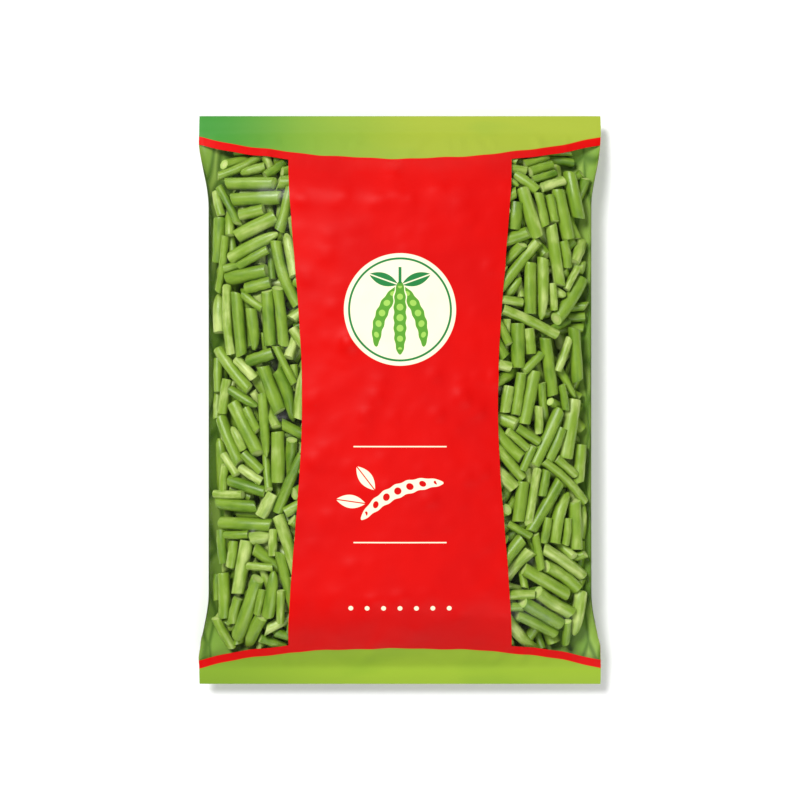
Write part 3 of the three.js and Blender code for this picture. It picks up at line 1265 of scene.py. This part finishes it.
class Finish:
    """A new material. Its methods add nodes and return their outputs as values."""

    def __init__(self, name):
        self.material = bpy.data.materials.new(name)
        self.material.use_nodes = True
        self.tree = self.material.node_tree
        self.shader = self.tree.nodes["Principled BSDF"]

    def plug(self, socket, value):
        if isinstance(value, Value):
            self.tree.links.new(value.socket, socket)
        elif isinstance(value, tuple) and len(value) == 3 and socket.type == "RGBA":
            socket.default_value = (*value, 1)
        else:
            socket.default_value = value

    def add(self, kind, settings, inputs, output=0):
        """Adds a node. Its settings come first, because some of them change its sockets."""
        node = self.tree.nodes.new("ShaderNode" + kind)
        for name, value in settings.items():
            setattr(node, name, value)
        if isinstance(inputs, list):
            for socket, value in zip(node.inputs, inputs):
                self.plug(socket, value)
        else:
            for name, value in inputs.items():
                socket = next(s for s in node.inputs if s.name == name and s.enabled)
                self.plug(socket, value)
        outputs = [s for s in node.outputs if s.enabled]
        return Value(self, outputs[output] if isinstance(output, int) else node.outputs[output])

    def attribute(self, name, output):
        return self.add("Attribute", {"attribute_name": name}, {}, output)

    def part(self, vector, axis):
        return self.add("SeparateXYZ", {}, {"Vector": vector}, axis)

    def mix(self, factor, first, second):
        """A colour between two: the first where factor is 0, the second where it is 1."""
        settings = {"data_type": "RGBA"}
        return self.add("Mix", settings, {"Factor": factor, "A": first, "B": second})

    def noise(self, vector, scale, detail=2.0, roughness=0.5):
        inputs = {"Vector": vector, "Scale": scale, "Detail": detail, "Roughness": roughness}
        return self.add("TexNoise", {}, inputs)

    def long_noise(self, vector, stretch, scale, detail=2.0):
        """Noise whose spots are drawn out or flattened along the axes."""
        drawn_out = self.add("Mapping", {}, {"Vector": vector, "Scale": stretch})
        return self.noise(drawn_out, scale, detail)

    def bump(self, height, distance, strength):
        inputs = {"Height": height, "Distance": distance, "Strength": strength}
        return self.add("Bump", {}, inputs)

    def set(self, **inputs):
        for name, value in inputs.items():
            self.plug(self.shader.inputs[name.replace("_", " ")], value)
        return self.material


print("shader helpers ready")

# %% [markdown]
# Bean skin is a waxy green with lighter patches and faint streaks along the pod, and no two
# pieces are quite alike. The cut faces are much paler, with a greener rim and a wet, whitish
# middle. The skin has a satin gloss, and the cut is dull.
#
# A photo of bean skin on each piece would repeat and end at seams. Noise doesn't, and it is
# stretched along the bean's own length, so the streaks follow every bend. One lightness is summed
# up from the piece's tint, the patches and the streaks, and it picks the green.

# %% Bean skin
DEEP_GREEN = (0.08, 0.185, 0.004)
BEAN_GREEN = (0.207, 0.343, 0.023)
PALE_GREEN = (0.53, 0.64, 0.2)
CUT_GREEN = (0.4, 0.56, 0.12)
CUT_MIDDLE = (0.52, 0.62, 0.2)
STREAKS = {"stretch": (0.12, 1, 1), "scale": 2.2, "detail": 3.0}
PATCHES = {"stretch": (0.5, 1, 1), "scale": 0.7}
SPECKLE_SCALE = 7.0
TINT_SHARE = 0.55
PATCH_SHARE = 0.9
STREAK_SHARE = 0.45
DARKENED_BY = 0.45
DEEP_TO_BEAN = (0.0, 0.55)
BEAN_TO_PALE = (0.5, 1.0)
SPECKLE_EDGES = (0.62, 0.8)
SPECKLE_STRENGTH = 0.3
PITH_EDGES = (0.62, 0.3)
CUT_EDGES = (0.35, 0.8)
SKIN_ROUGHNESS = {"least": 0.3, "streaks": 0.16, "cut": 0.26}
SKIN_GRAIN = {"distance": 0.0006, "strength": 0.6}


def distance(a, b):
    return (a * a + b * b).root()


def bean_skin():
    skin = Finish("bean_skin")
    place = skin.attribute("own_place", "Vector")
    tint = skin.attribute("tint", "Fac")
    cut = skin.attribute("cut", "Fac")
    streaks = skin.long_noise(place, **STREAKS)
    patches = skin.long_noise(place, **PATCHES)
    speckle = skin.noise(place, SPECKLE_SCALE)
    light = TINT_SHARE * tint + PATCH_SHARE * patches + STREAK_SHARE * streaks - DARKENED_BY
    light = light.clamped()
    body = skin.mix(light.ramp(*DEEP_TO_BEAN), DEEP_GREEN, BEAN_GREEN)
    body = skin.mix(light.ramp(*BEAN_TO_PALE), body, PALE_GREEN)
    body = skin.mix(speckle.ramp(*SPECKLE_EDGES) * SPECKLE_STRENGTH, body, PALE_GREEN)
    from_middle = distance(skin.part(place, "Y"), skin.part(place, "Z"))
    face = skin.mix(from_middle.ramp(*PITH_EDGES), CUT_GREEN, CUT_MIDDLE)
    colour = skin.mix(cut.ramp(*CUT_EDGES), body, face)
    rough = SKIN_ROUGHNESS["least"] + SKIN_ROUGHNESS["streaks"] * streaks
    rough = rough + SKIN_ROUGHNESS["cut"] * cut
    grain = skin.bump(0.5 * streaks + 0.35 * speckle, **SKIN_GRAIN)
    return skin.set(Base_Color=colour, Roughness=rough, Normal=grain)


skin = bean_skin()
for piece in all_beans:
    piece.data.materials.append(skin)
print("skin nodes:", len(skin.node_tree.nodes))

# %% [markdown]
# The print. Red ink covers the middle panel, green bands run across both ends, and a red line
# parts them from the windows. The bands go from a cool green at the left corner to a yellow green,
# as inks that were laid over each other do. On the panel there is an emblem of bean pods on a cream
# disc, and below it a sprig between two rules. The back has the same red panel between fields of
# dappled green.
#
# A painted picture could be laid on the web. Here every mark is a distance worked out from s and
# y, the place on the flat web in millimetres, and a soft step a third of a millimetre wide, so an
# edge is as crisp as print from near and far. The edges of the panel and the bands have the same
# numbers as the grid.

# %% Drawing on the web
FINE = 0.35


def inside(edge):
    """1 where a distance in millimetres is below 0, and 0 above."""
    return (0.5 - edge / FINE).clamped()


def bar(s, y, level, wide, high):
    """An upright or level bar in the middle of the bag, given by halves of its sizes."""
    return inside(s.size() - wide) * inside((y - level).size() - high)


def band_curve(s, band):
    """The same edge as the grid's, in millimetres, from nodes."""
    part = s.size().least(FLAT_WIDTH / MM - s.size()).most(0) / (FOLD / MM)
    edge = band["middle"] / MM + band["rise"] / MM * part ** band["power"]
    for w in WAVES:
        edge = edge + w["size"] / MM * ((s + FOLD / MM) * (2 * math.pi * MM / w["length"])).cosine()
    return edge


# %% Motifs on the web, a pod and a leaf
TIP_POWER = 2.6
SEED_SWELL = 0.07
SEED_SIZE = 0.52
MIDRIB = 0.45


def turned(s, y, centre, angle):
    """Coordinates along and across a motif."""
    c, n = math.cos(math.radians(angle)), math.sin(math.radians(angle))
    along = (s - centre[0]) * c + (y - centre[1]) * n
    beside = (y - centre[1]) * c - (s - centre[0]) * n
    return along, beside


def pod(s, y, centre, angle, half, wide, bend, seeds):
    """A curved bean pod: its mask, and a mask of the seeds that show in it."""
    along, beside = turned(s, y, centre, angle)
    bowed = beside - bend * along * along / (half * half) + bend / 2
    part = (along / half).size().least(1)
    taper = (1 - part**TIP_POWER).most(0).root()
    step = 2 * half / (seeds + 1)
    beat = (along * (2 * math.pi / step)).cosine()
    width = wide * taper * (1 - SEED_SWELL + SEED_SWELL * beat)
    mask = inside(bowed.size() - width) * inside(along.size() - half)
    from_seed = ((along / step + 0.5).fraction() - 0.5) * step
    bead = inside(distance(from_seed, bowed) - SEED_SIZE * wide * taper)
    return mask, bead * inside(along.size() - half + step / 2)


def leaf(s, y, centre, angle, half, wide):
    """A pointed leaf with a clear midrib."""
    along, beside = turned(s, y, centre, angle)
    width = wide * (1 - (along / half) * (along / half)).most(0)
    rib = inside(beside.size() - MIDRIB)
    return inside(beside.size() - width) * inside(along.size() - half) * (1 - rib)


# %% The emblem, the sprig, the rules and the dots, in millimetres
CREAM = (0.93, 0.86, 0.62)
LEAF_GREEN = (0.02, 0.2, 0.05)
POD_GREEN = (0.1, 0.32, 0.03)
SEED_GREEN = (0.33, 0.58, 0.1)
EMBLEM = {"centre": (0, 66), "disc": 41, "ring": 37.2, "ring_width": 0.8}
POD_RIM = 0.9
PODS = [
    {"centre": (-10.8, 62.5), "angle": 68, "half": 24.5, "wide": 4.6, "bend": -5, "seeds": 5},
    {"centre": (10.8, 62.5), "angle": 112, "half": 24.5, "wide": 4.6, "bend": 5, "seeds": 5},
    {"centre": (0, 60), "angle": 90, "half": 27, "wide": 4.9, "bend": 0.01, "seeds": 6},
]
EMBLEM_LEAVES = [
    {"centre": (-12, 88), "angle": 160, "half": 11.5, "wide": 4.6},
    {"centre": (12, 88), "angle": 20, "half": 11.5, "wide": 4.6},
]
STALK = {"level": 91, "wide": 1.1, "high": 6}
RULES = [{"level": -34, "wide": 34, "high": 0.45}, {"level": -104, "wide": 34, "high": 0.45}]
SPRIG_POD = {"centre": (0, -70), "angle": 24, "half": 33, "wide": 5.2, "bend": -8, "seeds": 6}
SPRIG_LEAVES = [
    {"centre": (-25, -57), "angle": 128, "half": 11, "wide": 4.8},
    {"centre": (-36, -74), "angle": 172, "half": 11, "wide": 4.8},
]
DOTS = {"level": -152, "step": 12, "radius": 1.7, "reach": 40}


def add_emblem(ink, s, y, colour):
    """Lays the disc with its ring, pods, stalk and leaves over a colour."""
    x0, y0 = EMBLEM["centre"]
    out = distance(s - x0, y - y0)
    colour = ink.mix(inside(out - EMBLEM["disc"]), colour, CREAM)
    ring = inside((out - EMBLEM["ring"]).size() - EMBLEM["ring_width"])
    colour = ink.mix(ring, colour, LEAF_GREEN)
    for settings in PODS:
        larger = {side: settings[side] + POD_RIM for side in ("wide", "half")}
        rim, _ = pod(s, y, **{**settings, **larger})
        mask, bead = pod(s, y, **settings)
        for shape, shade in ((rim, CREAM), (mask, POD_GREEN), (bead, SEED_GREEN)):
            colour = ink.mix(shape, colour, shade)
    colour = ink.mix(bar(s, y, **STALK), colour, LEAF_GREEN)
    for settings in EMBLEM_LEAVES:
        colour = ink.mix(leaf(s, y, **settings), colour, LEAF_GREEN)
    return colour


def cream_marks(s, y):
    """The sprig, the two rules and the row of dots."""
    sprig, bead = pod(s, y, **SPRIG_POD)
    marks = sprig * (1 - bead)
    for settings in SPRIG_LEAVES:
        marks = marks.most(leaf(s, y, **settings))
    for settings in RULES:
        marks = marks.most(bar(s, y, **settings))
    wave = (s * (2 * math.pi / DOTS["step"])).cosine()
    nearest = ((1 - wave) * (DOTS["step"] ** 2 / (2 * math.pi**2))).root()
    dots = inside(distance(y - DOTS["level"], nearest) - DOTS["radius"])
    return marks.most(dots * inside(s.size() - DOTS["reach"]))


# %% The green inks
COOL_GREEN = (0.05, 0.26, 0.035)
MID_GREEN = (0.22, 0.37, 0.04)
YELLOW_GREEN = (0.34, 0.42, 0.04)
BOTTOM_LEFT_GREEN = (0.2, 0.335, 0.025)
BOTTOM_GREEN = (0.28, 0.42, 0.03)
CREASE_SHADE_GREEN = (0.17, 0.32, 0.02)
BACK_GREEN = (0.15, 0.29, 0.03)
BACK_DEEP = (0.06, 0.14, 0.012)
BACK_PALE = (0.3, 0.46, 0.08)
DRIFT = {"stretch": (1, 0.6, 1), "scale": 9}
COOL_TO_MID = {"sway": 40, "start": -150, "end": -40}
MID_TO_YELLOW = {"sway": 50, "start": -80, "end": 30}
LEFT_TO_RIGHT = {"sway": 60, "start": -150, "end": -10}
# Painted light and shade of soft creases in the film: long streaks that pull the top band towards
# the middle green and darken the bottom band.
CREASE_SHADING = {"stretch": (1, 2.5, 1), "scale": 14}
CREASE_SHADING_EDGES = (0.5, 0.72)
CREASE_SHADING_STRENGTH = 0.3
DAPPLE_TURN = {"Rotation": (0, 0, 0.6), "Scale": (1, 0.34, 1)}
DAPPLE = {"Scale": 75, "Randomness": 0.9}
DAPPLE_RIM = (0.16, 0.0)
DAPPLE_RIM_STRENGTH = 0.8


def sweep(s, drift, sway, start, end):
    """From 0 to 1 across the bag, with an edge that wavers."""
    return (s + sway * (drift - 0.5)).ramp(start, end)


def band_inks(ink, s, place):
    """The greens of the top band and of the bottom band, with painted crease shading over them."""
    drift = ink.long_noise(place, **DRIFT)
    # Painted crease shading: stretched noise marks where the streaks of light and shade lie.
    crease_shading = ink.long_noise(place, **CREASE_SHADING).ramp(*CREASE_SHADING_EDGES) * CREASE_SHADING_STRENGTH
    top = ink.mix(sweep(s, drift, **COOL_TO_MID), COOL_GREEN, MID_GREEN)
    top = ink.mix(sweep(s, drift, **MID_TO_YELLOW), top, YELLOW_GREEN)
    bottom = ink.mix(sweep(s, drift, **LEFT_TO_RIGHT), BOTTOM_LEFT_GREEN, BOTTOM_GREEN)
    return ink.mix(crease_shading, top, MID_GREEN), ink.mix(crease_shading, bottom, CREASE_SHADE_GREEN)


def dappled_green(ink, place):
    """Long patches of green, each of its own shade and darker at its edge."""
    patch = {"Vector": ink.add("Mapping", {}, {"Vector": place, **DAPPLE_TURN}), **DAPPLE}
    shade = ink.part(ink.add("TexVoronoi", {}, patch, "Color"), "X")
    rim = ink.add("TexVoronoi", {"feature": "DISTANCE_TO_EDGE"}, patch, "Distance")
    colour = ink.mix(shade, BACK_GREEN, BACK_PALE)
    return ink.mix(rim.ramp(*DAPPLE_RIM) * DAPPLE_RIM_STRENGTH, colour, BACK_DEEP)


# %% Printed film
RED = (0.65, 0.002, 0.001)
DEEP_RED = (0.58, 0.001, 0.001)
CLOUDS = {"scale": 16, "detail": 3.0, "roughness": 0.55}
CLOUD_EDGES = (0.35, 0.7)
MOTTLE_SCALE = 70
CLOUD_SHARE = 0.7
MOTTLE_SHARE = 0.3
INK_ROUGHNESS = {"least": 0.42, "clouds": 0.16}
INK_GRAIN = {"distance": 0.0012, "strength": 0.35}
INK_GLOSS = 0.1


def printed_film():
    ink = Finish("printed_film")
    uv = ink.add("UVMap", {"uv_map": "web"}, {})
    s = (ink.part(uv, "X") - 0.5) * (2 * WEB_EDGE / MM)
    y = (ink.part(uv, "Y") - 0.5) * (BAG_LENGTH / MM)
    place = ink.add("TexCoord", {}, {}, "Object")
    clouds = ink.noise(place, **CLOUDS)
    mottle = ink.noise(place, MOTTLE_SCALE)
    thick = (CLOUD_SHARE * clouds.ramp(*CLOUD_EDGES) + MOTTLE_SHARE * mottle).clamped()
    colour = ink.mix(thick, RED, DEEP_RED)
    past_top = y - band_curve(s, TOP_BAND)
    past_bottom = -1 * y - band_curve(s, BOTTOM_BAND)
    top_ink, bottom_ink = band_inks(ink, s, place)
    colour = ink.mix(1 - inside(past_top), colour, top_ink)
    colour = ink.mix(1 - inside(past_bottom), colour, bottom_ink)
    behind = inside(FOLD / MM - s.size()) * inside(s.size() - BACK_PANEL / MM)
    fields = behind * inside(past_top) * inside(past_bottom)
    colour = ink.mix(fields, colour, dappled_green(ink, place))
    colour = add_emblem(ink, s, y, colour)
    colour = ink.mix(cream_marks(s, y), colour, CREAM)
    rough = INK_ROUGHNESS["least"] + INK_ROUGHNESS["clouds"] * clouds
    grain = ink.bump(0.6 * clouds + 0.4 * mottle, **INK_GRAIN)
    return ink.set(Base_Color=colour, Roughness=rough, Normal=grain, Specular_IOR_Level=INK_GLOSS)


film.data.materials[PRINTED] = printed_film()
print("print nodes:", len(film.data.materials[PRINTED].node_tree.nodes))

# %% [markdown]
# Clear film lets nearly all light through, yet keeps its gloss. A low alpha alone would take the
# gloss away with the colour, so the index of refraction is set high to make up for some of it.
# Even so, less than one per cent of the light that falls straight on it is sent back. Real film
# sends back more, but more would veil the beans. Faint crinkles keep the gloss from being a
# mirror's. A glass shader would bend the light, as film doesn't, and it would be slow to render.

# %% Clear film
CLEAR_ALPHA = 0.014
CLEAR_INDEX = 3.4
CLEAR_TINT = (0.05, 0.08, 0.02)
CRINKLES = {"scale": 120, "detail": 3.0, "roughness": 0.6}
HAZE_SCALE = 30
CLEAR_ROUGHNESS = {"least": 0.2, "haze": 0.14}
CLEAR_GRAIN = {"distance": 0.001, "strength": 0.5}


def clear_film():
    clear = Finish("clear_film")
    place = clear.add("TexCoord", {}, {}, "Object")
    crinkles = clear.noise(place, **CRINKLES)
    haze = clear.noise(place, HAZE_SCALE)
    rough = CLEAR_ROUGHNESS["least"] + CLEAR_ROUGHNESS["haze"] * haze
    grain = clear.bump(0.5 * crinkles + 0.5 * haze, **CLEAR_GRAIN)
    return clear.set(
        Base_Color=CLEAR_TINT,
        Alpha=CLEAR_ALPHA,
        IOR=CLEAR_INDEX,
        Roughness=rough,
        Normal=grain,
    )


film.data.materials[CLEAR] = clear_film()
print("film materials:", [m.name for m in film.data.materials])

# %% [markdown]
# Last, the film and the beans all ride on the bag's one body, and the plain solids of the
# construction model that they take the place of are hidden.

# %% What each piece stands for
for piece in [film, *all_beans]:
    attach(piece, "root")
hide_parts("film_web")
for piece in heaps:
    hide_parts("bean_fill")
for piece, node in zip(window_beans, window_nodes):
    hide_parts(node)
